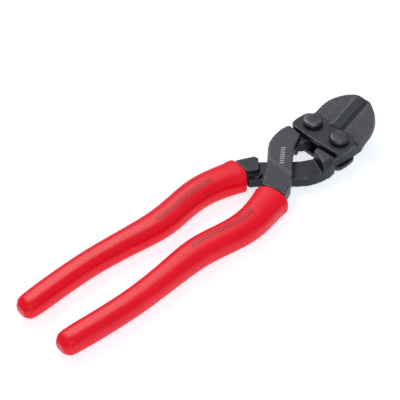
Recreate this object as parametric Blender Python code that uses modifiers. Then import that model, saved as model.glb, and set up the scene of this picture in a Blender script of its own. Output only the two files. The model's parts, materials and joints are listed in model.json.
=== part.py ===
"""Compact bolt cutters with an angled head: two forged levers that cross in a half lap, each turning on its own
rivet between a pair of link plates, with dipped grips on the tangs.

Lengths below are in millimetres. Y runs along the tool and is measured from the ends of the grips, X runs across
it, and Z is up from the surface that the tool lies on. The last step of every piece moves it to the middle of the
tool and scales it to metres.
"""

import math

import bmesh
import bpy
from mathutils import Matrix, Vector

MM = 0.001

# Driving dimensions
LENGTH = 204.7             # ends of the grips to the tip of the jaws
MID_Z = 7.1                # middle plane of the head
GAP = 0.3                  # clearance between neighbouring pieces
LEVER_HALF = 3.0           # half the thickness of the necks and jaws
ARM_HALF = 5.4             # middle plane to the outer face of an arm
PIVOT_X = 8.6              # each rivet, either side of the middle
PIVOT_Y = 175.0
PLATE_FAR = 5.6            # middle plane to the outer face of a link plate
PLATE_THICK = 2.1
EAR_RADIUS = 8.0
SHANK_RADIUS = 3.2         # rivet
HEAD_RADIUS = 4.9
HEAD_HEIGHT = 2.5
BUSH_RADIUS = 4.7
WASHER_RADIUS = 6.0
WASHER_THICK = 0.5
COUNTERBORE = 0.5          # recess in a lever's faces for the washers
BEND_Y = 184.6             # where the upper faces of the jaws turn up
JAW_TILT = math.radians(25.5)
JAW_HALF_WIDTH = 15.4
JAW_LENGTH = 20.5
JAW_THICK = 4.0
JAW_SWELL = 4.7            # bend to the widest place, along the jaw
JAW_POWER = 1.7            # roundness of the nose, as a superellipse
ROOT_REACH = 4.2           # how far the neck runs on under the jaw
GROOVE_WIDTH = 4.0         # each jaw's bevel, across its face
EDGE_LAND = 0.25           # half the thickness left at the cutting edge
BEVEL_START = 180.9        # the bevels run out under the front of the plates
TOOTH_RADIUS = 1.6
ROOT_HALF = 3.9            # half the depth of a lever where it enters its grip
STOP_HEIGHT = 1.2          # closing stop, above the middle plane
GRIP_Z = 6.1
GRIP_FRONT = 130.0
TANG_END = 9.0
KINK_Y = 142.0             # behind it an arm's outer face slopes down to the grip
NOSE_STEPS = 16            # points round the nose of a jaw
WIDE = 30.0                # more than the half width of any piece, for a cutter

# Where a lever meets the mouth of its grip
MOUTH_END = [(-7.0, 128.1), (-13.0, 129.3), (-16.4, 129.6)]

# Grip stations: y, distance of its middle from the tool's middle, half width, half thickness
GRIP_STATIONS = (
    (0.0, 13.4, 3.4, 2.9), (1.3, 13.4, 4.5, 4.0), (4.5, 13.6, 5.4, 4.9), (20.0, 14.65, 5.7, 5.1),
    (40.0, 15.15, 5.8, 5.2), (60.0, 13.8, 6.3, 5.3), (72.0, 12.7, 6.9, 5.4), (80.0, 12.6, 7.2, 5.5),
    (90.0, 13.9, 7.35, 5.6), (100.0, 15.45, 7.5, 5.6), (110.0, 15.3, 7.8, 5.8), (120.0, 13.1, 8.3, 5.9),
    (GRIP_FRONT, 10.8, 8.6, 6.0),
)
# Tang stations, the same four values
TANG_STATIONS = (
    (TANG_END, 13.8, 2.8, 1.6), (40.0, 15.15, 3.4, 1.9), (80.0, 12.6, 4.2, 2.3), (100.0, 15.3, 4.6, 2.5),
    (112.0, 14.9, 5.2, 2.9), (124.0, 12.0, 6.0, 3.6), (131.0, 10.6, 6.2, 3.8),
)


def clear_scene():
    for thing in list(bpy.data.objects):
        bpy.data.objects.remove(thing, do_unlink=True)


def new_collection(name, hidden=False):
    made = bpy.data.collections.new(name)
    made.hide_render = hidden
    bpy.context.scene.collection.children.link(made)
    return made


def material(name, colour, roughness, metallic):
    made = bpy.data.materials.new(name)
    made.use_nodes = True
    shader = made.node_tree.nodes["Principled BSDF"]
    shader.inputs["Base Color"].default_value = (*colour, 1.0)
    shader.inputs["Roughness"].default_value = roughness
    shader.inputs["Metallic"].default_value = metallic
    return made


def object_from(name, mesh):
    made = bpy.data.objects.new(name, mesh)
    bpy.context.scene.collection.objects.link(made)
    return made


def outline_solid(name, points, half, matrix):
    """A flat outline extruded by half its thickness each way, as a mesh, with its points put through the matrix."""
    curve = bpy.data.curves.new(name, "CURVE")
    curve.dimensions = "2D"
    curve.fill_mode = "BOTH"
    curve.extrude = half
    spline = curve.splines.new("POLY")
    spline.points.add(len(points) - 1)
    for point, (x, y) in zip(spline.points, points):
        point.co = (x, y, 0.0, 1.0)
    spline.use_cyclic_u = True
    guide = object_from(name + "_guide", curve)
    bpy.context.view_layer.update()
    graph = bpy.context.evaluated_depsgraph_get()
    mesh = bpy.data.meshes.new_from_object(guide.evaluated_get(graph))
    bpy.data.objects.remove(guide, do_unlink=True)
    solid = bmesh.new()
    solid.from_mesh(mesh)
    bmesh.ops.remove_doubles(solid, verts=solid.verts, dist=0.0001)
    solid.transform(matrix)
    bmesh.ops.recalc_face_normals(solid, faces=solid.faces)
    if solid.calc_volume(signed=True) < 0:
        bmesh.ops.reverse_faces(solid, faces=solid.faces)
    solid.to_mesh(mesh)
    solid.free()
    mesh.name = name
    return object_from(name, mesh)


def plan_solid(name, points, low, high):
    """An outline seen from above, between two heights."""
    return outline_solid(name, points, (high - low) / 2, Matrix.Translation((0, 0, (high + low) / 2)))


def side_solid(name, points, half_width):
    """An outline of (y, z) points seen from the side, extruded across the tool."""
    turn = Matrix(((0, 0, 1, 0), (1, 0, 0, 0), (0, 1, 0, 0), (0, 0, 0, 1)))
    return outline_solid(name, points, half_width, turn)


def cylinder(name, x, y, radius, low, high, segments=48):
    solid = bmesh.new()
    place = Matrix.Translation((x, y, (low + high) / 2))
    bmesh.ops.create_cone(solid, cap_ends=True, segments=segments, radius1=radius, radius2=radius,
                          depth=high - low, matrix=place)
    mesh = bpy.data.meshes.new(name)
    solid.to_mesh(mesh)
    solid.free()
    return object_from(name, mesh)


def smooth_station(stations, y):
    """The centre and half sizes at y, eased between the stations on either side."""
    last = len(stations) - 2
    i = max(k for k in range(last + 1) if stations[k][0] <= y + 1e-9 or k == 0)
    before, low = stations[max(i - 1, 0)], stations[i]
    high, after = stations[i + 1], stations[min(i + 2, last + 1)]
    span = high[0] - low[0]
    t = (y - low[0]) / span
    values = []
    for k in (1, 2, 3):
        slope_low = (high[k] - before[k]) / (high[0] - before[0]) * span
        slope_high = (after[k] - low[k]) / (after[0] - low[0]) * span
        values.append((2 * t**3 - 3 * t**2 + 1) * low[k] + (t**3 - 2 * t**2 + t) * slope_low
                      + (3 * t**2 - 2 * t**3) * high[k] + (t**3 - t**2) * slope_high)
    return values


def section(x, y, z, half_width, half_height, power, count):
    """A rounded rectangle across the tool, as a superellipse."""
    ring = []
    for k in range(count):
        angle = 2 * math.pi * (k + 0.5) / count
        c, s = math.cos(angle), math.sin(angle)
        ring.append((x + half_width * math.copysign(abs(c) ** (2 / power), c), y,
                     z + half_height * math.copysign(abs(s) ** (2 / power), s)))
    return ring


def loft(name, stations, side, spacing, count, power, grow=0.0, extend=0.0):
    """Skins rounded sections along the stations, which is how a grip or a tang changes along its length."""
    first, final = stations[0][0], stations[-1][0]
    steps = max(2, round((final - first) / spacing))
    places = sorted({first + (final - first) * k / steps for k in range(steps + 1)} | {s[0] for s in stations})
    solid = bmesh.new()
    rings = []
    for y in places:
        middle, half_width, half_height = smooth_station(stations, y)
        place = y
        if y == first:
            place = y - grow
        if y == final:
            place = y + extend
        ring = section(side * middle, place, GRIP_Z, half_width + grow, half_height + grow, power, count)
        rings.append([solid.verts.new(point) for point in ring])
    for near, far in zip(rings, rings[1:]):
        for k in range(count):
            solid.faces.new((near[k], near[(k + 1) % count], far[(k + 1) % count], far[k]))
    solid.faces.new(rings[0])
    solid.faces.new(rings[-1])
    bmesh.ops.recalc_face_normals(solid, faces=solid.faces)
    mesh = bpy.data.meshes.new(name)
    solid.to_mesh(mesh)
    solid.free()
    return object_from(name, mesh)


def combine(target, other, operation):
    """Applies a Boolean between two solids and removes the second."""
    modifier = target.modifiers.new(operation.lower(), "BOOLEAN")
    modifier.operation = operation
    modifier.solver = "EXACT"
    modifier.object = other
    bpy.context.view_layer.update()
    graph = bpy.context.evaluated_depsgraph_get()
    mesh = bpy.data.meshes.new_from_object(target.evaluated_get(graph))
    target.modifiers.clear()
    target.data = mesh
    bpy.data.objects.remove(other, do_unlink=True)
    return target


def arc(x, y, radius, start, stop, count):
    """Points on an arc, with its angles in degrees."""
    angles = [math.radians(start + (stop - start) * k / count) for k in range(count + 1)]
    return [(x + radius * math.cos(a), y + radius * math.sin(a)) for a in angles]


def across(points, side):
    return [(side * x, y) for x, y in points]


def finish(thing, name, look, collection, pivot=(0.0, LENGTH / 2)):
    """Moves a piece to the frame's middle in metres, with its origin on the axis that it turns on."""
    axis = Vector((pivot[0], pivot[1] - LENGTH / 2, 0.0)) * MM
    place = Matrix.Scale(MM, 4) @ Matrix.Translation((0, -LENGTH / 2, 0))
    thing.data.transform(Matrix.Translation(-axis) @ place)
    thing.location = axis
    thing.name = name
    thing.data.name = name
    thing.data.materials.clear()
    thing.data.materials.append(look)
    thing.data.shade_smooth()
    thing.data.set_sharp_from_angle(angle=math.radians(30))
    for holder in list(thing.users_collection):
        holder.objects.unlink(thing)
    collection.objects.link(thing)
    return thing


# ---- Levers ----

def jaw_frame():
    """Takes (across, along the jaw, up from the cutting edge) to the tool. The upper face hinges at the bend."""
    bend = Matrix.Translation((0, BEND_Y, MID_Z + LEVER_HALF))
    return bend @ Matrix.Rotation(JAW_TILT, 4, "X") @ Matrix.Translation((0, 0, -LEVER_HALF))


def jaw(side):
    """The turned-up cutting head of a lever: half of a rounded nose, in the jaw's own plane."""
    start = -0.4
    outline = [(GAP / 2, start), (GAP / 2, JAW_LENGTH)]
    for k in range(1, NOSE_STEPS + 1):
        along = math.cos(math.pi / 2 * k / NOSE_STEPS)
        width = JAW_HALF_WIDTH * (1 - along ** JAW_POWER) ** (1 / JAW_POWER)
        outline.append((width, JAW_SWELL + (JAW_LENGTH - JAW_SWELL) * along))
    outline.append((JAW_HALF_WIDTH + 0.2, start))
    outline = [point for point in outline if point[0] >= GAP / 2]
    middle = Matrix.Translation((0, 0, LEVER_HALF - JAW_THICK / 2))
    return outline_solid("jaw", across(outline, side), JAW_THICK / 2, jaw_frame() @ middle)


def bevel_cutter(side, face, frame, start, stop):
    """The wedge that grinds one face of a jaw down to its cutting edge."""
    slope = (LEVER_HALF - EDGE_LAND) / GROOVE_WIDTH
    beyond = 1.0
    outline = [(-beyond, EDGE_LAND - beyond * slope), (GROOVE_WIDTH + beyond, LEVER_HALF + beyond * slope),
               (-beyond, LEVER_HALF + beyond * slope)]
    outline = [(side * x, face * z) for x, z in outline]
    turn = Matrix(((1, 0, 0, 0), (0, 0, -1, (start + stop) / 2), (0, 1, 0, 0), (0, 0, 0, 1)))
    return outline_solid("bevel", outline, (stop - start) / 2, frame @ turn)


def neck(side):
    """The flat middle of a lever, between the link plates, with the rolling knuckle behind its jaw."""
    knuckle = PIVOT_X - GAP / 2
    end = BEND_Y + ROOT_REACH
    outline = [(GAP / 2, end), (GAP / 2, 180.6)]
    outline += arc(PIVOT_X, PIVOT_Y, knuckle, 149, 215, 12)
    outline += [(3.9, 163.0), (6.0, 161.6), (15.2, 161.6), (14.9, 167.0), (15.4, 173.0), (15.8, 179.0),
                (15.7, BEND_Y), (JAW_HALF_WIDTH - 0.3, end)]
    low, high = MID_Z - LEVER_HALF, MID_Z + LEVER_HALF
    made = plan_solid("neck", across(outline, side), low, high)
    underside = high - JAW_THICK / math.cos(JAW_TILT) + ROOT_REACH * math.tan(JAW_TILT)
    rear, margin, lift = 150, 1.0, 0.6
    profile = [(rear, low - margin), (BEND_Y, low - margin), (BEND_Y, low), (end + margin, underside + lift),
               (end + margin, high + margin), (rear, high + margin)]
    return combine(made, side_solid("neck_profile", profile, WIDE), "INTERSECT")


def arm_outline():
    """A lever behind its neck: it bows out, crosses the middle and runs to the grip on the other side."""
    outer = [(13.4, 165.8), (15.2, 165.9), (16.1, 164.9), (16.4, 161.5), (16.2, 158.9), (15.7, 156.2),
             (14.8, 152.9), (13.4, 149.7), (11.2, 146.6), (7.0, 141.9), (3.4, 138.5), (-4.2, 126.9)]
    inner = MOUTH_END + [(-13.7, 135.8), (-12.2, 139.0), (-5.1, 146.8), (-2.3, 149.7), (2.5, 155.6),
             (4.7, 159.8), (6.2, 163.4), (7.2, 164.9)]
    return outer + inner


def arm(side, up):
    """The half-lapped arm, on the upper or the lower side of the middle plane."""
    level = MID_Z + up * GAP / 2
    far = MID_Z + up * ARM_HALF
    mouth = MID_Z + up * ROOT_HALF
    made = plan_solid("arm", across(arm_outline(), side), min(level, far), max(level, far))
    rear, front = 126.0, 167.0
    profile = [(rear, level - up), (front, level - up), (front, far), (KINK_Y, far), (rear, mouth)]
    if up < 0:
        profile.reverse()
    return combine(made, side_solid("arm_profile", profile, WIDE), "INTERSECT")


def rear_block(side):
    """The full-depth root that an arm widens into once it has passed the other one."""
    outline = [(-10.2, 138.9), (-9.6, 138.5), (-4.6, 133.7), (-4.5, 133.1)] + MOUTH_END
    outline += [(-13.5, 135.8), (-12.4, 138.3)]
    return plan_solid("rear_block", across(outline, side), MID_Z - ROOT_HALF, MID_Z + ROOT_HALF)


def front_block(side, up):
    """The raised corner beside the neck that stops the other arm when the tool is wide open."""
    outline = [(15.9, 164.4), (16.35, 162.0), (16.2, 158.9), (15.85, 157.0), (5.4, 161.4), (6.4, 163.8)]
    made = plan_solid("front_block", across(outline, side), MID_Z - 1, MID_Z + ARM_HALF)
    above, base, block_y = MID_Z + ARM_HALF + 0.1, MID_Z + 1.0, 160
    slope = [(14.3, above), (18.0, above), (18.0, base), (16.4, base)]
    turn = Matrix(((1, 0, 0, 0), (0, 0, -1, block_y), (0, 1, 0, 0), (0, 0, 0, 1)))
    cutter = outline_solid("slope", across(slope, side), 12, turn)
    made = combine(made, cutter, "DIFFERENCE")
    if up > 0:
        made.data.transform(Matrix.Translation((0, 0, 2 * MID_Z)) @ Matrix.Scale(-1, 4, (0, 0, 1)))
        made.data.flip_normals()
    return made


def grind(made, side, frame, start, stop):
    """Grinds both faces of a jaw or a neck down to the cutting edge, before the pieces are joined."""
    for face in (1, -1):
        made = combine(made, bevel_cutter(side, face, frame, start, stop), "DIFFERENCE")
    return made


def closing_stop(side, up):
    """A low ledge in the corner between the root and the lap, which the other arm closes against."""
    outline = [(-5.4, 130.6), (-4.8, 134.6), (-2.9, 134.4), (-2.2, 131.4), (-3.2, 130.2)]
    low, high = sorted((MID_Z + up, MID_Z - up * STOP_HEIGHT))
    return plan_solid("closing_stop", across(outline, side), low, high)


def lever(side, up):
    """One forging: jaw, neck, arm and tang. Side is where its jaw is, and up says which half of the lap it has."""
    made = grind(neck(side), side, Matrix.Translation((0, 0, MID_Z)), BEVEL_START, BEND_Y + 6)
    head = grind(jaw(side), side, jaw_frame(), -2, JAW_LENGTH + 3)
    for piece in (head, arm(side, up), front_block(side, up), rear_block(side), closing_stop(side, up)):
        made = combine(made, piece, "UNION")
    tang = loft("tang", TANG_STATIONS, -side, 12, 16, 3.0)
    made = combine(made, tang, "UNION")
    x = side * PIVOT_X
    bore = cylinder("bore", x, PIVOT_Y, BUSH_RADIUS + GAP, MID_Z - 10, MID_Z + 10)
    made = combine(made, bore, "DIFFERENCE")
    for face in (1, -1):
        floor = MID_Z + face * (LEVER_HALF - COUNTERBORE)
        above = floor + face * 8
        recess = cylinder("recess", x, PIVOT_Y, WASHER_RADIUS + GAP, min(floor, above), max(floor, above))
        made = combine(made, recess, "DIFFERENCE")
    low, high = MID_Z - LEVER_HALF, MID_Z + LEVER_HALF
    if side < 0:
        tooth = cylinder("tooth", 0, PIVOT_Y, TOOTH_RADIUS, low + COUNTERBORE + GAP, high - COUNTERBORE - GAP, 24)
        return combine(made, tooth, "UNION")
    socket = cylinder("socket", 0, PIVOT_Y, TOOTH_RADIUS + GAP + 0.05, low - 1, high + 1, 24)
    return combine(made, socket, "DIFFERENCE")


# ---- Link plates, rivets and bearings ----

def plate_outline():
    """Two round ears over the jaws, a shallow dip between them, and a slightly bowed rear edge."""
    right = [(0.0, 180.2), (1.6, 180.5)]
    right += arc(PIVOT_X, PIVOT_Y, EAR_RADIUS, 128, 42, 12)
    right += [(15.9, 178.9), (16.4, 176.8), (16.6, 173.0), (16.4, 169.8), (15.8, 168.2), (14.6, 167.3),
              (12.4, 166.9), (7.0, 166.6)]
    left = [(-x, y) for x, y in reversed(right[1:])]
    return right + [(0.0, 166.5)] + left


def link_plate(face):
    near = PLATE_FAR - PLATE_THICK
    low, high = sorted((MID_Z + face * near, MID_Z + face * PLATE_FAR))
    made = plan_solid("plate", plate_outline(), low, high)
    for side in (1, -1):
        hole = cylinder("hole", side * PIVOT_X, PIVOT_Y, SHANK_RADIUS + GAP, low - 1, high + 1)
        made = combine(made, hole, "DIFFERENCE")
    return made


def turned(name, x, profile, segments=48):
    """A turned piece on a pivot, from its (radius, height) points listed down its outer side."""
    mesh = bpy.data.meshes.new(name)
    solid = bmesh.new()
    points = [solid.verts.new((r, 0, z)) for r, z in profile]
    for pair in zip(points, points[1:]):
        solid.edges.new(pair)
    solid.to_mesh(mesh)
    solid.free()
    made = object_from(name, mesh)
    made.location = (x, PIVOT_Y, 0)
    screw = made.modifiers.new("turn", "SCREW")
    screw.steps = segments
    screw.render_steps = segments
    screw.use_merge_vertices = True
    screw.merge_threshold = 0.0001
    bpy.context.view_layer.update()
    graph = bpy.context.evaluated_depsgraph_get()
    whole = bpy.data.meshes.new_from_object(made.evaluated_get(graph))
    made.modifiers.clear()
    made.data = whole
    solid = bmesh.new()
    solid.from_mesh(whole)
    bmesh.ops.remove_doubles(solid, verts=solid.verts, dist=0.0001)
    bmesh.ops.recalc_face_normals(solid, faces=solid.faces)
    solid.to_mesh(whole)
    solid.free()
    made.data.transform(Matrix.Translation((x, PIVOT_Y, 0)))
    made.location = (0, 0, 0)
    return made


def rivet(side):
    """Shouldered rivet: a chamfered head on top, and a low head closed over the lower plate."""
    seat = MID_Z + PLATE_FAR + GAP
    top = seat + HEAD_HEIGHT
    foot = MID_Z - PLATE_FAR - GAP
    profile = [(0, top), (HEAD_RADIUS - 0.9, top), (HEAD_RADIUS, top - 0.8), (HEAD_RADIUS, seat),
               (SHANK_RADIUS, seat), (SHANK_RADIUS, foot), (HEAD_RADIUS - 0.2, foot),
               (HEAD_RADIUS - 0.5, foot * 0.4), (HEAD_RADIUS - 1.4, 0), (0, 0)]
    return turned("rivet", side * PIVOT_X, profile)


def ring(name, side, inner, outer, low, high):
    profile = [(inner, high), (outer, high), (outer, low), (inner, low), (inner, high)]
    return turned(name, side * PIVOT_X, profile)


def bush(side):
    reach = LEVER_HALF - COUNTERBORE
    return ring("bush", side, SHANK_RADIUS + GAP, BUSH_RADIUS, MID_Z - reach, MID_Z + reach)


def washer(side, face):
    near = PLATE_FAR - PLATE_THICK - 0.25
    low, high = sorted((MID_Z + face * near, MID_Z + face * (near - WASHER_THICK)))
    return ring("washer", side, SHANK_RADIUS + GAP, WASHER_RADIUS, low, high)


# ---- Grips ----

def grip(side):
    """Dipped sleeve over the tang: closed at its end, open at its mouth, which is cut back towards the middle."""
    made = loft("grip", GRIP_STATIONS, side, 5, 28, 3.0)
    hollow = loft("hollow", TANG_STATIONS, side, 12, 16, 3.0, grow=GAP, extend=4.0)
    made = combine(made, hollow, "DIFFERENCE")
    beyond = 150.0
    mouth = [(21.5, 129.0), (13.0, 128.6), (7.0, 127.4), (-2.0, 121.5), (-2.0, beyond), (WIDE, beyond),
             (WIDE, 126.0)]
    cutter = plan_solid("mouth", across(mouth, side), -5, 25)
    return combine(made, cutter, "DIFFERENCE")


def build():
    clear_scene()
    parts = new_collection("bolt_cutters")
    forged = material("forged_steel", (0.045, 0.048, 0.055), 0.5, 0.7)
    pressed = material("plate_steel", (0.04, 0.043, 0.05), 0.42, 0.75)
    pin_steel = material("rivet_steel", (0.06, 0.063, 0.07), 0.36, 0.8)
    bearing = material("bearing_steel", (0.3, 0.3, 0.31), 0.3, 1.0)
    vinyl = material("red_vinyl", (0.72, 0.01, 0.015), 0.25, 0.0)
    sides = {"left": -1, "right": 1}

    for name, side, up in (("upper_lever", -1, 1), ("lower_lever", 1, -1)):
        finish(lever(side, up), name, forged, parts, (side * PIVOT_X, PIVOT_Y))
    for name, face in (("top", 1), ("bottom", -1)):
        finish(link_plate(face), name + "_link_plate", pressed, parts)
    for name, side in sides.items():
        axis = (side * PIVOT_X, PIVOT_Y)
        finish(rivet(side), name + "_pivot_rivet", pin_steel, parts)
        finish(bush(side), name + "_pivot_bush", bearing, parts, axis)
        for level, face in (("top", 1), ("bottom", -1)):
            finish(washer(side, face), name + "_" + level + "_thrust_washer", bearing, parts)
        finish(grip(side), name + "_grip", vinyl, parts, (-side * PIVOT_X, PIVOT_Y))


build()
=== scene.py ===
import json
import math

import bmesh
import bpy
import numpy as np
from mathutils import Matrix, Vector


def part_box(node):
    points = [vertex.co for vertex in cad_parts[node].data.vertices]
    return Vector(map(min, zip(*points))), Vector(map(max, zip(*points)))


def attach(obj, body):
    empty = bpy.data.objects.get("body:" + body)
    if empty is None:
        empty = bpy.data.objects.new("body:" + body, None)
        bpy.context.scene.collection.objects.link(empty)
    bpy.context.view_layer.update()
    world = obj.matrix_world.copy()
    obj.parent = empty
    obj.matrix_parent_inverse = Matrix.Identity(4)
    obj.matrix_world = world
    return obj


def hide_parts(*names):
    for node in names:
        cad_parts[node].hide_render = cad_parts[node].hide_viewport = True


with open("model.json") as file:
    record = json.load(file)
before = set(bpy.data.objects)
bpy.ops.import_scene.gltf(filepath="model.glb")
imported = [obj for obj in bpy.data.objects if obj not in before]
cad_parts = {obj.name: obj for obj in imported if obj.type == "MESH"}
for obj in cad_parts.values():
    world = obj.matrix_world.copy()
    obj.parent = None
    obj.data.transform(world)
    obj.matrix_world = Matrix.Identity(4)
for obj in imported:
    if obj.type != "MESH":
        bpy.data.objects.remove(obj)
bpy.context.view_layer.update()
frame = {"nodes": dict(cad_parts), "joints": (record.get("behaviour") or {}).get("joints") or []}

# ---- Levers ----
# Each lever is one drop forging, from the jaw through the bowed arm to the tang inside its grip. It is black
# oxided, with jaws left grainy from the die and ground cutting bevels. Each starts from a merged copy of its
# frame node, re-skinned with even faces so that every edge gets a forged radius.
MM = 0.001
PIVOTS = [joint["pos_m"] for joint in frame["joints"]]
PIVOT_Y = PIVOTS[0][1]
HEAD_MID_Z = PIVOTS[0][2]
BEND_Y = PIVOT_Y + 9.6 * MM
BEVEL_START_Y = PIVOT_Y + 5.9 * MM
JAW_TILT = math.radians(25.5)
LEVER_HALF = 3.0 * MM
ARM_TOP_Z = HEAD_MID_Z + 5.4 * MM
ARM_FRONT_Y = PIVOT_Y - 9 * MM
EDGE_LAND = 0.25 * MM          # half the thickness left at a cutting edge
BEVEL_WIDTH = 4.0 * MM
BEVEL_SLOPE = (LEVER_HALF - EDGE_LAND) / BEVEL_WIDTH
BEVEL_RIM = 3.95 * MM          # middle to where a bevel meets the jaw's face
RIM_LINE = 0.17 * MM           # half the width of the painted highlight line there
BEVEL_BAND = 0.2 * MM          # how near the bevel's plane a point counts as ground
CUTTING_ZONE = 0.9 * MM        # either side of the middle, kept sharp by the smoothing
CLOSE_UP = 0.11 * MM           # brings the cutting edges together from the frame's clearance
SKIN_CELL = 0.34 * MM
WELD = 0.002 * MM
RELAX_ROUNDS = 5
RELAX_IN, RELAX_OUT = 0.5, -0.52
EDGE_REACH = 2                 # how many points away the surroundings of an edge go
EDGE_GAIN = 3.0


def link(name, mesh):
    """Puts a mesh in the scene as an object at the origin."""
    made = bpy.data.objects.new(name, mesh)
    bpy.context.scene.collection.objects.link(made)
    return made


def merged_copy(node, name):
    """A copy of a frame node with its loose triangles joined up."""
    mesh = frame["nodes"][node].data.copy()
    cage = bmesh.new()
    cage.from_mesh(mesh)
    bmesh.ops.remove_doubles(cage, verts=cage.verts, dist=WELD)
    cage.to_mesh(mesh)
    cage.free()
    mesh.materials.clear()
    for layer in list(mesh.uv_layers):
        mesh.uv_layers.remove(layer)
    return link(name, mesh)


def bake_modifiers(thing):
    """Applies every modifier by reading the evaluated mesh back."""
    bpy.context.view_layer.update()
    graph = bpy.context.evaluated_depsgraph_get()
    mesh = bpy.data.meshes.new_from_object(thing.evaluated_get(graph))
    thing.modifiers.clear()
    thing.data = mesh


def points_of(mesh):
    flat = np.empty(len(mesh.vertices) * 3)
    mesh.vertices.foreach_get("co", flat)
    return flat.reshape(-1, 3)


def edge_pairs(mesh):
    flat = np.empty(len(mesh.edges) * 2, dtype=np.int64)
    mesh.edges.foreach_get("vertices", flat)
    return flat.reshape(-1, 2)


def neighbour_mean(values, pairs, count):
    """The mean of each point's neighbours, over the mesh's edges."""
    total = np.zeros_like(values)
    degree = np.bincount(pairs.ravel(), minlength=count)[:, None]
    for column in range(values.shape[1]):
        total[:, column] = np.bincount(pairs[:, 0], values[pairs[:, 1], column], count)
        total[:, column] += np.bincount(pairs[:, 1], values[pairs[:, 0], column], count)
    return total / np.maximum(degree, 1)


def relax(mesh, kept):
    """Smooths without shrinking. kept is 1 on points that stay put, such as a cutting edge."""
    points = points_of(mesh)
    pairs = edge_pairs(mesh)
    free = (1 - kept)[:, None]
    for push in (RELAX_IN, RELAX_OUT) * RELAX_ROUNDS:
        points += push * free * (neighbour_mean(points, pairs, len(points)) - points)
    mesh.vertices.foreach_set("co", points.ravel())
    mesh.update()


def mark(mesh, name, values):
    layer = mesh.attributes.new(name, "FLOAT", "POINT")
    layer.data.foreach_set("value", values.astype(np.float32))


def mark_edges(mesh):
    """Stores how far each point stands out of its surroundings, which is where the finish rubs off."""
    points = points_of(mesh)
    pairs = edge_pairs(mesh)
    normals = np.empty(len(points) * 3)
    mesh.vertices.foreach_get("normal", normals)
    normals = normals.reshape(-1, 3)
    mean = points.copy()
    for _ in range(EDGE_REACH):
        mean = neighbour_mean(mean, pairs, len(points))
    out = np.einsum("ij,ij->i", points - mean, normals)[:, None] / SKIN_CELL
    out = neighbour_mean(out, pairs, len(points))
    mark(mesh, "edge", np.clip(out[:, 0] * EDGE_GAIN, 0, 1))


def jaw_height(points):
    """Height above the plane of the cutting edges, which turns up with the jaws past the bend."""
    ahead = points[:, 1] - BEND_Y
    below_face = points[:, 2] - HEAD_MID_Z - LEVER_HALF
    tilted = below_face * math.cos(JAW_TILT) - ahead * math.sin(JAW_TILT)
    return np.where(tilted < below_face, tilted, below_face) + LEVER_HALF


def near_cutting_edge(points):
    beside = np.abs(points[:, 0]) < CUTTING_ZONE
    ahead = points[:, 1] > BEVEL_START_Y
    return (beside & ahead).astype(float)


def group_input(tree, name, kind, default):
    made = tree.interface.new_socket(name, in_out="INPUT", socket_type=kind)
    made.default_value = default
    return made


def node(tree, kind, **settings):
    made = tree.nodes.new(kind)
    for key, value in settings.items():
        setattr(made, key, value)
    return made


def grain_group():
    """Two sizes of noise on Object coordinates: a mottle for colour, and a height for Bump."""
    tree = bpy.data.node_groups.new("metal_grain", "ShaderNodeTree")
    group_input(tree, "Mottle size", "NodeSocketFloat", 300.0)
    group_input(tree, "Grain size", "NodeSocketFloat", 1500.0)
    tree.interface.new_socket("Mottle", in_out="OUTPUT", socket_type="NodeSocketFloat")
    tree.interface.new_socket("Height", in_out="OUTPUT", socket_type="NodeSocketFloat")
    entry, leave = node(tree, "NodeGroupInput"), node(tree, "NodeGroupOutput")
    place = node(tree, "ShaderNodeTexCoord")
    mottle = node(tree, "ShaderNodeTexNoise")
    mottle.inputs["Detail"].default_value = 3.0
    fine = node(tree, "ShaderNodeTexNoise")
    fine.inputs["Detail"].default_value = 4.0
    fine.inputs["Roughness"].default_value = 0.62
    for texture, size in ((mottle, "Mottle size"), (fine, "Grain size")):
        tree.links.new(place.outputs["Object"], texture.inputs["Vector"])
        tree.links.new(entry.outputs[size], texture.inputs["Scale"])
    tree.links.new(mottle.outputs["Fac"], leave.inputs["Mottle"])
    tree.links.new(fine.outputs["Fac"], leave.inputs["Height"])
    return tree


def wear_group():
    """Turns the stored edge value into a broken mask of bright rubbed metal."""
    tree = bpy.data.node_groups.new("edge_wear", "ShaderNodeTree")
    group_input(tree, "Amount", "NodeSocketFloat", 1.0)
    group_input(tree, "Break up", "NodeSocketFloat", 500.0)
    tree.interface.new_socket("Wear", in_out="OUTPUT", socket_type="NodeSocketFloat")
    entry, leave = node(tree, "NodeGroupInput"), node(tree, "NodeGroupOutput")
    place = node(tree, "ShaderNodeTexCoord")
    edge = node(tree, "ShaderNodeAttribute", attribute_name="edge")
    noise = node(tree, "ShaderNodeTexNoise")
    noise.inputs["Detail"].default_value = 4.0
    spread = node(tree, "ShaderNodeMapRange")
    spread.inputs["From Min"].default_value = 0.35
    spread.inputs["From Max"].default_value = 0.7
    both = node(tree, "ShaderNodeMath", operation="MULTIPLY")
    scaled = node(tree, "ShaderNodeMath", operation="MULTIPLY", use_clamp=True)
    tree.links.new(place.outputs["Object"], noise.inputs["Vector"])
    tree.links.new(entry.outputs["Break up"], noise.inputs["Scale"])
    tree.links.new(noise.outputs["Fac"], spread.inputs["Value"])
    tree.links.new(spread.outputs["Result"], both.inputs[0])
    tree.links.new(edge.outputs["Fac"], both.inputs[1])
    tree.links.new(both.outputs["Value"], scaled.inputs[0])
    tree.links.new(entry.outputs["Amount"], scaled.inputs[1])
    tree.links.new(scaled.outputs["Value"], leave.inputs["Wear"])
    return tree


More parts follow.
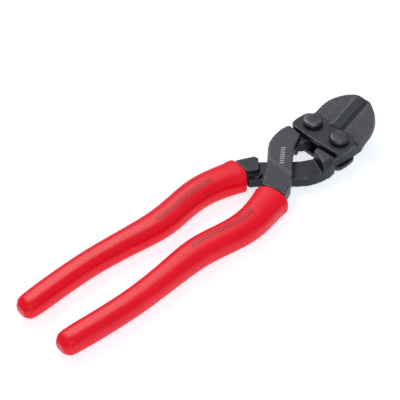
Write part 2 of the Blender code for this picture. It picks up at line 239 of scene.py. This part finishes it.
def stroke_group():
    """A plain row of short strokes across a strip, as a mask. Sizes are in metres."""
    tree = bpy.data.node_groups.new("stroke_row", "ShaderNodeTree")
    tree.interface.new_socket("Place", in_out="INPUT", socket_type="NodeSocketVector")
    group_input(tree, "Pitch", "NodeSocketFloat", 0.0016)
    group_input(tree, "Length of row", "NodeSocketFloat", 0.010)
    group_input(tree, "Half stroke", "NodeSocketFloat", 0.001)
    group_input(tree, "Solid part", "NodeSocketFloat", 0.4)
    tree.interface.new_socket("Mask", in_out="OUTPUT", socket_type="NodeSocketFloat")
    entry, leave = node(tree, "NodeGroupInput"), node(tree, "NodeGroupOutput")
    parts = node(tree, "ShaderNodeSeparateXYZ")
    tree.links.new(entry.outputs["Place"], parts.inputs["Vector"])

    def maths(operation, first, second=None):
        made = node(tree, "ShaderNodeMath", operation=operation)
        tree.links.new(first, made.inputs[0])
        if isinstance(second, float):
            made.inputs[1].default_value = second
        elif second is not None:
            tree.links.new(second, made.inputs[1])
        return made.outputs["Value"]

    along, beside = parts.outputs["X"], maths("ABSOLUTE", parts.outputs["Y"])
    step = maths("FRACT", maths("DIVIDE", along, entry.outputs["Pitch"]))
    dash = maths("LESS_THAN", step, entry.outputs["Solid part"])
    started = maths("GREATER_THAN", along, 0.0)
    before_end = maths("LESS_THAN", along, entry.outputs["Length of row"])
    within = maths("LESS_THAN", beside, entry.outputs["Half stroke"])
    mask = maths("MULTIPLY", maths("MULTIPLY", dash, started), maths("MULTIPLY", before_end, within))
    tree.links.new(mask, leave.inputs["Mask"])
    return tree


METAL_GRAIN = grain_group()
STROKES = stroke_group()
EDGE_WEAR = wear_group()


def new_material(name):
    made = bpy.data.materials.new(name)
    made.use_nodes = True
    return made, made.node_tree, made.node_tree.nodes["Principled BSDF"]


def use_group(tree, group, **values):
    made = node(tree, "ShaderNodeGroup", node_tree=group)
    for key, value in values.items():
        made.inputs[key.replace("_", " ")].default_value = value
    return made


def mix(tree, factor, low, high):
    """Blends two colours, where each is a colour value or a socket."""
    made = node(tree, "ShaderNodeMix", data_type="RGBA")
    tree.links.new(factor, made.inputs["Factor"])
    for socket, value in ((made.inputs["A"], low), (made.inputs["B"], high)):
        if isinstance(value, tuple):
            socket.default_value = (*value, 1.0)
        else:
            tree.links.new(value, socket)
    return made.outputs["Result"]


def ranged(tree, source, from_low, from_high, to_low, to_high):
    made = node(tree, "ShaderNodeMapRange")
    ends = {"From Min": from_low, "From Max": from_high, "To Min": to_low, "To Max": to_high}
    for key, value in ends.items():
        made.inputs[key].default_value = value
    tree.links.new(source, made.inputs["Value"])
    return made.outputs["Result"]


def mottled(tree, grain, low, high):
    """Spreads the middle of the grain's mottle from low to high."""
    return ranged(tree, grain.outputs["Mottle"], 0.3, 0.7, low, high)


def bump(tree, shader, height, strength, depth):
    made = node(tree, "ShaderNodeBump")
    made.inputs["Strength"].default_value = strength
    made.inputs["Distance"].default_value = depth
    tree.links.new(height, made.inputs["Height"])
    tree.links.new(made.outputs["Normal"], shader.inputs["Normal"])


# The mark etched on the upper arm runs towards the grip from here, turned this far from X
MARK_START = (-6.0 * MM, PIVOT_Y - 23.2 * MM, 0.0)
MARK_TURN = math.radians(-50)
JAW_BUMP, PLAIN_BUMP = 1.0, 0.2


def forged_material():
    """Black oxide over a forged skin, coarser on the jaws, brighter on the ground bevels and rubbed edges,
    with a painted highlight along the bevels' top rims.
    """
    made, tree, shader = new_material("black_oxide_forging")
    grain = use_group(tree, METAL_GRAIN, Mottle_size=260.0, Grain_size=1500.0)
    wear = use_group(tree, EDGE_WEAR, Amount=0.5, Break_up=420.0)
    jaw = node(tree, "ShaderNodeAttribute", attribute_name="jaw")
    ground = node(tree, "ShaderNodeAttribute", attribute_name="ground")
    mottle = mottled(tree, grain, 0.0, 1.0)
    skin = mix(tree, mottle, (0.029, 0.031, 0.037), (0.041, 0.043, 0.050))
    rubbed = node(tree, "ShaderNodeAttribute", attribute_name="rubbed")
    arm = mix(tree, rubbed.outputs["Fac"], skin, (0.062, 0.064, 0.070))
    jaw_grain = ranged(tree, grain.outputs["Height"], 0.35, 0.68, 0.0, 1.0)
    die_face = mix(tree, jaw_grain, (0.048, 0.050, 0.058), (0.088, 0.092, 0.103))
    body = mix(tree, jaw.outputs["Fac"], arm, die_face)
    cut = mix(tree, ground.outputs["Fac"], body, (0.060, 0.065, 0.074))
    # Painted highlight: a bright line along the top rim of each ground bevel, where light catches the edge.
    painted_rim_highlight = node(tree, "ShaderNodeAttribute", attribute_name="painted_rim_highlight")
    cut = mix(tree, painted_rim_highlight.outputs["Fac"], cut, (0.22, 0.23, 0.25))
    worn = mix(tree, wear.outputs["Wear"], cut, (0.34, 0.35, 0.37))
    place = node(tree, "ShaderNodeTexCoord")
    turned = node(tree, "ShaderNodeMapping", vector_type="TEXTURE")
    turned.inputs["Location"].default_value = MARK_START
    turned.inputs["Rotation"].default_value = (0.0, 0.0, MARK_TURN)
    tree.links.new(place.outputs["Object"], turned.inputs["Vector"])
    marks = use_group(tree, STROKES, Pitch=1.55 * MM, Length_of_row=12.2 * MM, Half_stroke=1.05 * MM,
                      Solid_part=0.32)
    tree.links.new(turned.outputs["Vector"], marks.inputs["Place"])
    on_top = node(tree, "ShaderNodeMath", operation="MULTIPLY")
    tree.links.new(marks.outputs["Mask"], on_top.inputs[0])
    tree.links.new(rubbed.outputs["Fac"], on_top.inputs[1])
    etched = mix(tree, on_top.outputs["Value"], worn, (0.42, 0.43, 0.44))
    tree.links.new(etched, shader.inputs["Base Color"])
    tree.links.new(mottled(tree, grain, 0.40, 0.52), shader.inputs["Roughness"])
    shader.inputs["Metallic"].default_value = 0.75
    depth = node(tree, "ShaderNodeMath", operation="MULTIPLY_ADD")
    depth.inputs[1].default_value = JAW_BUMP - PLAIN_BUMP
    depth.inputs[2].default_value = PLAIN_BUMP
    tree.links.new(jaw.outputs["Fac"], depth.inputs[0])
    height = node(tree, "ShaderNodeMath", operation="MULTIPLY")
    tree.links.new(grain.outputs["Height"], height.inputs[0])
    tree.links.new(depth.outputs["Value"], height.inputs[1])
    bump(tree, shader, height.outputs["Value"], 0.9, 0.35 * MM)
    return made


FORGED = forged_material()


def mark_finish(mesh, points):
    """Marks a lever's jaw, its ground bevels, a painted highlight on the line where they meet the jaw's face,
    and the rubbed arm.
    """
    beside = np.abs(points[:, 0])
    height = jaw_height(points)
    on_jaw = np.clip((points[:, 1] - (BEND_Y - 2.5 * MM)) / (1.5 * MM), 0, 1)
    beveled = np.clip((points[:, 1] - BEVEL_START_Y) / (0.3 * MM), 0, 1)
    off_bevel = np.abs(np.abs(height) - EDGE_LAND - BEVEL_SLOPE * beside)
    bevel = beveled * (off_bevel < BEVEL_BAND) * (beside < BEVEL_WIDTH)
    on_line = np.abs(beside - BEVEL_RIM) < RIM_LINE
    on_top = np.clip(1 - np.abs(points[:, 2] - ARM_TOP_Z) / (0.25 * MM), 0, 1)
    mark(mesh, "jaw", on_jaw * (1 - bevel))
    mark(mesh, "ground", bevel)
    # Painted highlight along each bevel's top rim, where it meets the jaw's face.
    mark(mesh, "painted_rim_highlight", beveled * on_line * (height > LEVER_HALF - 0.5 * MM))
    mark(mesh, "rubbed", on_top * (points[:, 1] < ARM_FRONT_Y))


def forge(node_name, name, body):
    """Re-skins a lever, rounds its edges, closes its cutting edge up and marks where its finish changes."""
    made = merged_copy(node_name, name)
    skin = made.modifiers.new("skin", "REMESH")
    skin.mode = "VOXEL"
    skin.voxel_size = SKIN_CELL
    bake_modifiers(made)
    relax(made.data, near_cutting_edge(points_of(made.data)))
    points = points_of(made.data)
    points[:, 0] -= np.sign(points[:, 0]) * near_cutting_edge(points) * CLOSE_UP
    made.data.vertices.foreach_set("co", points.ravel())
    mark_finish(made.data, points)
    mark_edges(made.data)
    made.data.shade_smooth()
    made.data.materials.append(FORGED)
    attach(made, body)
    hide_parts(node_name)


forge("upper_lever", "upper_lever_forging", "upper_lever_set")
forge("lower_lever", "lower_lever_forging", "lower_lever_set")

# ---- Link plates ----
# The two plates that carry the rivets are blanked from sheet, tumbled so that their edges are slightly round,
# and black oxided to an even satin. Each is its frame node re-skinned, with a finer and calmer finish.
# The top one has a small relief notch in its front edge.
PLATE_CELL = 0.24 * MM
NOTCH_RADIUS = 0.55 * MM
NOTCH_PLACE = Vector((-1.7 * MM, PIVOT_Y + 5.3 * MM, ARM_TOP_Z))


def relieve(plate):
    """Drills the small round notch through the plate's front edge."""
    cage = bmesh.new()
    bmesh.ops.create_cone(cage, cap_ends=True, segments=24, radius1=NOTCH_RADIUS, radius2=NOTCH_RADIUS,
                          depth=10 * NOTCH_RADIUS, matrix=Matrix.Translation(NOTCH_PLACE))
    mesh = bpy.data.meshes.new("notch")
    cage.to_mesh(mesh)
    cage.free()
    drill = link("notch", mesh)
    cut = plate.modifiers.new("notch", "BOOLEAN")
    cut.operation = "DIFFERENCE"
    cut.object = drill
    bake_modifiers(plate)
    bpy.data.objects.remove(drill, do_unlink=True)


def plate_material():
    made, tree, shader = new_material("black_oxide_plate")
    grain = use_group(tree, METAL_GRAIN, Mottle_size=140.0, Grain_size=2600.0)
    wear = use_group(tree, EDGE_WEAR, Amount=0.55, Break_up=300.0)
    mottle = mottled(tree, grain, 0.0, 1.0)
    skin = mix(tree, mottle, (0.040, 0.042, 0.049), (0.049, 0.051, 0.059))
    worn = mix(tree, wear.outputs["Wear"], skin, (0.30, 0.31, 0.33))
    tree.links.new(worn, shader.inputs["Base Color"])
    tree.links.new(mottled(tree, grain, 0.36, 0.44), shader.inputs["Roughness"])
    shader.inputs["Metallic"].default_value = 0.75
    bump(tree, shader, grain.outputs["Height"], 0.35, 0.12 * MM)
    return made


PLATE_FINISH = plate_material()
for level in ("top", "bottom"):
    plate = merged_copy(level + "_link_plate", level + "_plate")
    if level == "top":
        relieve(plate)
    skin = plate.modifiers.new("skin", "REMESH")
    skin.mode = "VOXEL"
    skin.voxel_size = PLATE_CELL
    bake_modifiers(plate)
    relax(plate.data, np.zeros(len(plate.data.vertices)))
    mark_edges(plate.data)
    plate.data.shade_smooth()
    plate.data.materials.append(PLATE_FINISH)
    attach(plate, "link_plates")
    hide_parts(level + "_link_plate")

# ---- Pivot rivets ----
# Two shouldered rivets with chamfered cheese heads, turned from bar and closed underneath in a press. Each is
# rubbed bright where its flat top meets the chamfer. One turned rivet is repeated at both pivots by Geometry
# Nodes.
RIVET_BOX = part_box("left_pivot_rivet")
HEAD_RADIUS = (RIVET_BOX[1].x - RIVET_BOX[0].x) / 2
HEAD_TOP = RIVET_BOX[1].z
HEAD_HEIGHT = 2.5 * MM
SHANK_RADIUS = 3.2 * MM
FOOT_HEIGHT = 1.2 * MM
CHAMFER_REACH = 1.05 * MM      # from the head's side to the edge of its flat top
CHAMFER_DROP = 0.95 * MM
RUBBED_RING = 0.28 * MM
TURNED_STEPS = 96
RIVET_TURN = 2.1               # so that the two rivets don't wear alike


def fillet(corner, before, after, radius, count=5):
    """Points that round a corner of a profile."""
    corner, before, after = Vector(corner), Vector(before), Vector(after)
    start = corner + (before - corner).normalized() * radius
    stop = corner + (after - corner).normalized() * radius
    points = []
    for k in range(count + 1):
        t = k / count
        points.append((1 - t) ** 2 * start + 2 * t * (1 - t) * corner + t * t * stop)
    return [tuple(point) for point in points]


def rounded_profile(corners, radii):
    points = [corners[0]]
    for k in range(1, len(corners) - 1):
        points += fillet(corners[k], corners[k - 1], corners[k + 1], radii[k - 1])
    return points + [corners[-1]]


def lathe(name, profile, steps):
    """Turns a profile of (radius, height) round Z into a closed mesh. Its first and last points are on Z."""
    cage = bmesh.new()
    turns = [2 * math.pi * k / steps for k in range(steps)]
    rows = []
    for radius, height in profile[1:-1]:
        rows.append([cage.verts.new((radius * math.cos(t), radius * math.sin(t), height)) for t in turns])
    first_tip, last_tip = [cage.verts.new((0, 0, height)) for _, height in (profile[0], profile[-1])]
    for k in range(steps):
        m = (k + 1) % steps
        cage.faces.new((first_tip, rows[0][k], rows[0][m]))
        for near, far in zip(rows, rows[1:]):
            cage.faces.new((near[k], far[k], far[m], near[m]))
        cage.faces.new((last_tip, rows[-1][m], rows[-1][k]))
    bmesh.ops.recalc_face_normals(cage, faces=cage.faces)
    mesh = bpy.data.meshes.new(name)
    cage.to_mesh(mesh)
    cage.free()
    return link(name, mesh)


def rivet_material():
    made, tree, shader = new_material("rivet_oxide")
    grain = use_group(tree, METAL_GRAIN, Mottle_size=380.0, Grain_size=2200.0)
    wear = use_group(tree, EDGE_WEAR, Amount=0.8, Break_up=210.0)
    mottle = mottled(tree, grain, 0.0, 1.0)
    skin = mix(tree, mottle, (0.048, 0.050, 0.056), (0.072, 0.074, 0.081))
    worn = mix(tree, wear.outputs["Wear"], skin, (0.42, 0.43, 0.45))
    tree.links.new(worn, shader.inputs["Base Color"])
    tree.links.new(mottled(tree, grain, 0.30, 0.42), shader.inputs["Roughness"])
    shader.inputs["Metallic"].default_value = 0.8
    bump(tree, shader, grain.outputs["Height"], 0.4, 0.1 * MM)
    return made


def repeat_tree():
    """Puts its geometry at two points either side of the middle, turned differently, as one real mesh."""
    tree = bpy.data.node_groups.new("rivet_pair", "GeometryNodeTree")
    tree.interface.new_socket("Geometry", in_out="INPUT", socket_type="NodeSocketGeometry")
    group_input(tree, "Spacing", "NodeSocketVector", (0.0172, 0.0, 0.0))
    group_input(tree, "First pivot", "NodeSocketVector", (-0.0086, 0.0, 0.0))
    group_input(tree, "Turn", "NodeSocketFloat", RIVET_TURN)
    tree.interface.new_socket("Finish", in_out="INPUT", socket_type="NodeSocketMaterial")
    tree.interface.new_socket("Geometry", in_out="OUTPUT", socket_type="NodeSocketGeometry")
    entry, leave = node(tree, "NodeGroupInput"), node(tree, "NodeGroupOutput")
    line = node(tree, "GeometryNodeMeshLine", mode="OFFSET")
    line.inputs["Count"].default_value = 2
    index = node(tree, "GeometryNodeInputIndex")
    angle = node(tree, "ShaderNodeMath", operation="MULTIPLY")
    about = node(tree, "ShaderNodeCombineXYZ")
    place = node(tree, "GeometryNodeInstanceOnPoints")
    real = node(tree, "GeometryNodeRealizeInstances")
    paint = node(tree, "GeometryNodeSetMaterial")
    tree.links.new(entry.outputs["First pivot"], line.inputs["Start Location"])
    tree.links.new(entry.outputs["Spacing"], line.inputs["Offset"])
    tree.links.new(index.outputs["Index"], angle.inputs[0])
    tree.links.new(entry.outputs["Turn"], angle.inputs[1])
    tree.links.new(angle.outputs["Value"], about.inputs["Z"])
    tree.links.new(line.outputs["Mesh"], place.inputs["Points"])
    tree.links.new(entry.outputs["Geometry"], place.inputs["Instance"])
    tree.links.new(about.outputs["Vector"], place.inputs["Rotation"])
    tree.links.new(place.outputs["Instances"], real.inputs["Geometry"])
    tree.links.new(real.outputs["Geometry"], paint.inputs["Geometry"])
    tree.links.new(entry.outputs["Finish"], paint.inputs["Material"])
    tree.links.new(paint.outputs["Geometry"], leave.inputs["Geometry"])
    return tree


RIVET_FINISH = rivet_material()
seat = HEAD_TOP - HEAD_HEIGHT
foot_radius = HEAD_RADIUS - 0.2 * MM
corners = [
    (0, HEAD_TOP), (HEAD_RADIUS - CHAMFER_REACH, HEAD_TOP), (HEAD_RADIUS, HEAD_TOP - CHAMFER_DROP),
    (HEAD_RADIUS, seat), (SHANK_RADIUS, seat), (SHANK_RADIUS, FOOT_HEIGHT), (foot_radius, FOOT_HEIGHT),
    (foot_radius - 0.5 * MM, 0.4 * MM), (foot_radius - 1.3 * MM, 0.0), (0, 0),
]
radii = [value * MM for value in (0.22, 0.35, 0.12, 0.1, 0.1, 0.2, 0.3, 0.3)]
rivets = lathe("pivot_rivets", rounded_profile(corners, radii), TURNED_STEPS)
points = points_of(rivets.data)
ring_radius = np.hypot(points[:, 0], points[:, 1])
on_rim = 1 - np.clip(np.abs(ring_radius - (HEAD_RADIUS - CHAMFER_REACH)) / RUBBED_RING, 0, 1)
mark(rivets.data, "edge", on_rim * (points[:, 2] > seat + 1.2 * MM))
repeat = rivets.modifiers.new("both_pivots", "NODES")
repeat.node_group = repeat_tree()
sockets = repeat.node_group.interface.items_tree
socket = {item.name: item.identifier for item in sockets if item.in_out == "INPUT"}
first, second = Vector(PIVOTS[0]), Vector(PIVOTS[1])
repeat[socket["First pivot"]] = (first.x, first.y, 0.0)
repeat[socket["Spacing"]] = (second.x - first.x, 0.0, 0.0)
repeat[socket["Turn"]] = RIVET_TURN
repeat[socket["Finish"]] = RIVET_FINISH
bake_modifiers(rivets)
rivets.data.shade_smooth()
rivets.data.set_sharp_from_angle(angle=math.radians(50))
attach(rivets, "link_plates")
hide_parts("left_pivot_rivet", "right_pivot_rivet")

# ---- Bushes and thrust washers ----
# Ground bearing steel, pressed into the levers and laid between the levers and plates. Only the edges of the
# washers show in the gap under the plates, so the frame's own turned pieces stay, in a ground finish.


def bearing_material():
    made, tree, shader = new_material("ground_bearing")
    grain = use_group(tree, METAL_GRAIN, Mottle_size=600.0, Grain_size=3200.0)
    mottle = mottled(tree, grain, 0.0, 1.0)
    tree.links.new(mix(tree, mottle, (0.10, 0.10, 0.11), (0.17, 0.17, 0.18)), shader.inputs["Base Color"])
    tree.links.new(mottled(tree, grain, 0.28, 0.4), shader.inputs["Roughness"])
    shader.inputs["Metallic"].default_value = 0.9
    bump(tree, shader, grain.outputs["Height"], 0.2, 0.06 * MM)
    return made


BEARING_FINISH = bearing_material()
for node_name, thing in frame["nodes"].items():
    if "washer" in node_name or "bush" in node_name:
        thing.data.materials.clear()
        thing.data.materials.append(BEARING_FINISH)

# ---- Grips ----
# Soft red vinyl, built up by dipping the tang, glossy and a little uneven, with a chamfered closed end and a
# thick rim at the mouth that hugs the steel. Each has a plain row of short dark ticks. The lengths in this
# section are in millimetres from the closed end.
GRIP_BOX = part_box("right_grip")
GRIP_BACK = GRIP_BOX[0].y
GRIP_MIDDLE_Z = (GRIP_BOX[0].z + GRIP_BOX[1].z) / 2
# Distance from the closed end, then the grip's middle, half width and half thickness there
GRIP_STATIONS = (
    (0.0, 13.45, 5.0, 4.5), (4.5, 13.6, 5.4, 4.9), (20.0, 14.65, 5.7, 5.1), (40.0, 15.15, 5.8, 5.2),
    (60.0, 13.8, 6.3, 5.3), (72.0, 12.7, 6.9, 5.4), (80.0, 12.6, 7.2, 5.5), (90.0, 13.9, 7.35, 5.6),
    (100.0, 15.45, 7.5, 5.6), (110.0, 15.3, 7.8, 5.8), (120.0, 13.1, 8.3, 5.9), (129.0, 11.0, 8.5, 5.95),
)
# The mouth is cut back towards the middle of the tool: across, and the distance that the rim is at there
MOUTH_X = (-2.0, 7.0, 13.0, 21.5)
MOUTH_Y = (121.5, 127.4, 128.6, 129.0)
MOUTH_PLACE = 129.0
CUT_BACK_LENGTH, CUT_BACK_POWER = 21.0, 1.5
# Chamfer of the closed end: distance from the end, and how far the section is drawn in there
END_SHAPE = (
    (0.0, 3.3), (0.03, 2.6), (0.14, 2.2), (0.4, 1.85), (0.9, 1.4), (1.4, 0.98), (1.9, 0.6), (2.4, 0.34),
    (3.2, 0.12),
)
END_LENGTH = 4.8
GRIP_ROUND = 72
GRIP_RINGS = 150
GRIP_GIRTH = 40.0
GRIP_TRIM = 0.05               # keeps the grip inside the frame's
GRIP_BLEND = np.linspace(-5.5, 5.5, 9)     # each section is a mean over this stretch, so no station shows
SECTION_POWER = 2.9
LIP_PLACE, LIP_SPREAD, LIP_WIDTH, LIP_THICKNESS = 127.2, 1.6, 0.22, 0.04
RIM_START, RIM_BULGE, RIM_THICK, RIM_STEPS = 128.6, 0.4, 1.1, 6
INNER_END, INNER_GAP = 126.8, 0.5
TICKS_START = (76.0 * MM, 10.4 * MM, 0.0)  # along the grip and round it
TICK_STRENGTH = 0.8


def eased(stations, along):
    """Smooth values between stations, by cubic pieces through each one."""
    table = np.array(stations)
    slopes = np.gradient(table[:, 1:], table[:, 0], axis=0)
    k = int(np.clip(np.searchsorted(table[:, 0], along) - 1, 0, len(table) - 2))
    span = table[k + 1, 0] - table[k, 0]
    t = (along - table[k, 0]) / span
    low, high = table[k, 1:], table[k + 1, 1:]
    return ((2 * t**3 - 3 * t**2 + 1) * low + (t**3 - 2 * t**2 + t) * span * slopes[k]
            + (3 * t**2 - 2 * t**3) * high + (t**3 - t**2) * span * slopes[k + 1])


def grip_ring(along, inset):
    """One section across a grip as (across, along, up) in millimetres, drawn in by an inset all round."""
    nearby = np.clip(along + GRIP_BLEND, GRIP_STATIONS[0][0], GRIP_STATIONS[-1][0])
    middle, half_width, half_thick = np.mean([eased(GRIP_STATIONS, place) for place in nearby], axis=0)
    lip = math.exp(-((along - LIP_PLACE) / LIP_SPREAD) ** 2) * LIP_WIDTH
    half_width += lip - inset - GRIP_TRIM
    half_thick += min(lip, LIP_THICKNESS) - inset
    toward_mouth = np.clip(1 - (MOUTH_PLACE - along) / CUT_BACK_LENGTH, 0, 1) ** CUT_BACK_POWER
    ring = []
    for k in range(GRIP_ROUND):
        angle = 2 * math.pi * (k + 0.5) / GRIP_ROUND
        c, s = math.cos(angle), math.sin(angle)
        x = middle + half_width * math.copysign(abs(c) ** (2 / SECTION_POWER), c)
        z = half_thick * math.copysign(abs(s) ** (2 / SECTION_POWER), s)
        y = along + toward_mouth * (np.interp(x, MOUTH_X, MOUTH_Y) - MOUTH_PLACE)
        ring.append((x, y, z))
    return ring


def grip_rings():
    """The grip's sections from the closed end, over the rim of the mouth and a little way back inside it."""
    rings = list(END_SHAPE)
    for k in range(GRIP_RINGS + 1):
        rings.append((END_LENGTH + (RIM_START - END_LENGTH) * k / GRIP_RINGS, 0.0))
    for k in range(1, RIM_STEPS + 1):
        turn = math.pi * k / RIM_STEPS
        rings.append((RIM_START + RIM_BULGE * math.sin(turn), RIM_THICK / 2 * (1 - math.cos(turn))))
    rings.append((INNER_END, RIM_THICK + INNER_GAP))
    return rings


def grip(name, side):
    """Skins a grip's sections, with UVs in metres along it and round it."""
    cage = bmesh.new()
    sheet = cage.loops.layers.uv.new("grip")
    rows, lengths = [], []
    for along, inset in grip_rings():
        ring = grip_ring(along, inset)
        places = [(side * x * MM, y * MM + GRIP_BACK, z * MM + GRIP_MIDDLE_Z) for x, y, z in ring]
        rows.append([cage.verts.new(place) for place in places])
        lengths.append(along)
    for r, (near, far) in enumerate(zip(rows, rows[1:])):
        for k in range(GRIP_ROUND):
            m = (k + 1) % GRIP_ROUND
            face = cage.faces.new((near[k], near[m], far[m], far[k]))
            spots = ((k, r), (k + 1, r), (k + 1, r + 1), (k, r + 1))
            for loop, (turn, row) in zip(face.loops, spots):
                loop[sheet].uv = (lengths[row] * MM, GRIP_GIRTH * MM * turn / GRIP_ROUND)
    cage.faces.new(rows[0])
    cage.faces.new(rows[-1])
    bmesh.ops.recalc_face_normals(cage, faces=cage.faces)
    mesh = bpy.data.meshes.new(name)
    cage.to_mesh(mesh)
    cage.free()
    made = link(name, mesh)
    made.data.shade_smooth()
    return made


def vinyl_material():
    """Glossy vinyl whose colour drifts slowly, with a very slight orange peel and printed ticks."""
    made, tree, shader = new_material("red_dipped_vinyl")
    place = node(tree, "ShaderNodeTexCoord")
    drift = node(tree, "ShaderNodeTexNoise")
    drift.inputs["Scale"].default_value = 45.0
    drift.inputs["Detail"].default_value = 2.0
    peel = node(tree, "ShaderNodeTexNoise")
    peel.inputs["Scale"].default_value = 650.0
    peel.inputs["Detail"].default_value = 2.0
    for texture in (drift, peel):
        tree.links.new(place.outputs["Object"], texture.inputs["Vector"])
    tone = mix(tree, ranged(tree, drift.outputs["Fac"], 0.1, 0.9, 0.0, 1.0), (0.78, 0.001, 0.016),
               (0.88, 0.003, 0.022))
    sheet = node(tree, "ShaderNodeUVMap", uv_map="grip")
    turned = node(tree, "ShaderNodeMapping", vector_type="TEXTURE")
    turned.inputs["Location"].default_value = TICKS_START
    tree.links.new(sheet.outputs["UV"], turned.inputs["Vector"])
    ticks = use_group(tree, STROKES, Pitch=1.5 * MM, Length_of_row=36 * MM, Half_stroke=0.75 * MM,
                      Solid_part=0.45)
    tree.links.new(turned.outputs["Vector"], ticks.inputs["Place"])
    faded = node(tree, "ShaderNodeMath", operation="MULTIPLY")
    faded.inputs[1].default_value = TICK_STRENGTH
    tree.links.new(ticks.outputs["Mask"], faded.inputs[0])
    tree.links.new(mix(tree, faded.outputs["Value"], tone, (0.10, 0.008, 0.012)), shader.inputs["Base Color"])
    tree.links.new(ranged(tree, drift.outputs["Fac"], 0.1, 0.9, 0.25, 0.33), shader.inputs["Roughness"])
    shader.inputs["Specular IOR Level"].default_value = 0.22
    bump(tree, shader, peel.outputs["Fac"], 0.12, 0.12 * MM)
    return made


VINYL = vinyl_material()
for side_name, side, body in (("left", -1, "lower_lever_set"), ("right", 1, "upper_lever_set")):
    sleeve = grip(side_name + "_vinyl_grip", side)
    sleeve.data.materials.append(VINYL)
    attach(sleeve, body)
    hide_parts(side_name + "_grip")

# ---- Studio ----
# The tool lies on a plain white table, with white all round, a large soft light from the far left and a
# weaker one from the near right. It is seen from above its right-hand grip with a long lens.
CAMERA_AZIMUTH = math.radians(46.97)
CAMERA_ELEVATION = math.radians(43.75)
CAMERA_DISTANCE = 0.561
CAMERA_TARGET = Vector((-0.0162, PIVOT_Y - 0.0684, 0.0))
CAMERA_LENS = 106.8
TABLE_HALF = 3.0
TABLE_GLOW = 0.71
WORLD_GLOW = 0.46


def aim(thing, place, target):
    thing.location = place
    thing.rotation_euler = (Vector(target) - Vector(place)).to_track_quat("-Z", "Y").to_euler()


def soft_light(name, place, size, power):
    lamp = bpy.data.lights.new(name, "AREA")
    lamp.shape = "SQUARE"
    lamp.size = size
    lamp.energy = power
    made = bpy.data.objects.new(name, lamp)
    bpy.context.scene.collection.objects.link(made)
    aim(made, place, (0, 0, 0))


camera_data = bpy.data.cameras.new("camera")
camera_data.lens = CAMERA_LENS
camera_data.sensor_width = 36.0
camera_data.clip_start = 0.01
camera = bpy.data.objects.new("camera", camera_data)
bpy.context.scene.collection.objects.link(camera)
back = Vector((
    math.sin(CAMERA_AZIMUTH) * math.cos(CAMERA_ELEVATION),
    -math.cos(CAMERA_AZIMUTH) * math.cos(CAMERA_ELEVATION),
    math.sin(CAMERA_ELEVATION),
))
aim(camera, CAMERA_TARGET + back * CAMERA_DISTANCE, CAMERA_TARGET)
bpy.context.scene.camera = camera

floor_mesh = bpy.data.meshes.new("table")
floor_cage = bmesh.new()
bmesh.ops.create_grid(floor_cage, x_segments=1, y_segments=1, size=TABLE_HALF)
floor_cage.to_mesh(floor_mesh)
floor_cage.free()
floor = link("table", floor_mesh)
table_finish, _, table_shader = new_material("white_table")
table_shader.inputs["Base Color"].default_value = (0.44, 0.50, 0.58, 1.0)
table_shader.inputs["Roughness"].default_value = 0.7
table_shader.inputs["Specular IOR Level"].default_value = 0.2
table_shader.inputs["Emission Color"].default_value = (0.97, 0.98, 1.0, 1.0)
table_shader.inputs["Emission Strength"].default_value = TABLE_GLOW
floor.data.materials.append(table_finish)

soft_light("key_light", (-0.75, 0.30, 1.0), 0.6, 7.5)
soft_light("fill_light", (0.7, -0.5, 0.9), 0.9, 4.2)
world = bpy.data.worlds.new("studio_white")
world.use_nodes = True
surround = world.node_tree.nodes["Background"]
surround.inputs["Color"].default_value = (1.0, 1.0, 1.0, 1.0)
surround.inputs["Strength"].default_value = WORLD_GLOW
bpy.context.scene.world = world
bpy.context.scene.view_settings.view_transform = "Standard"
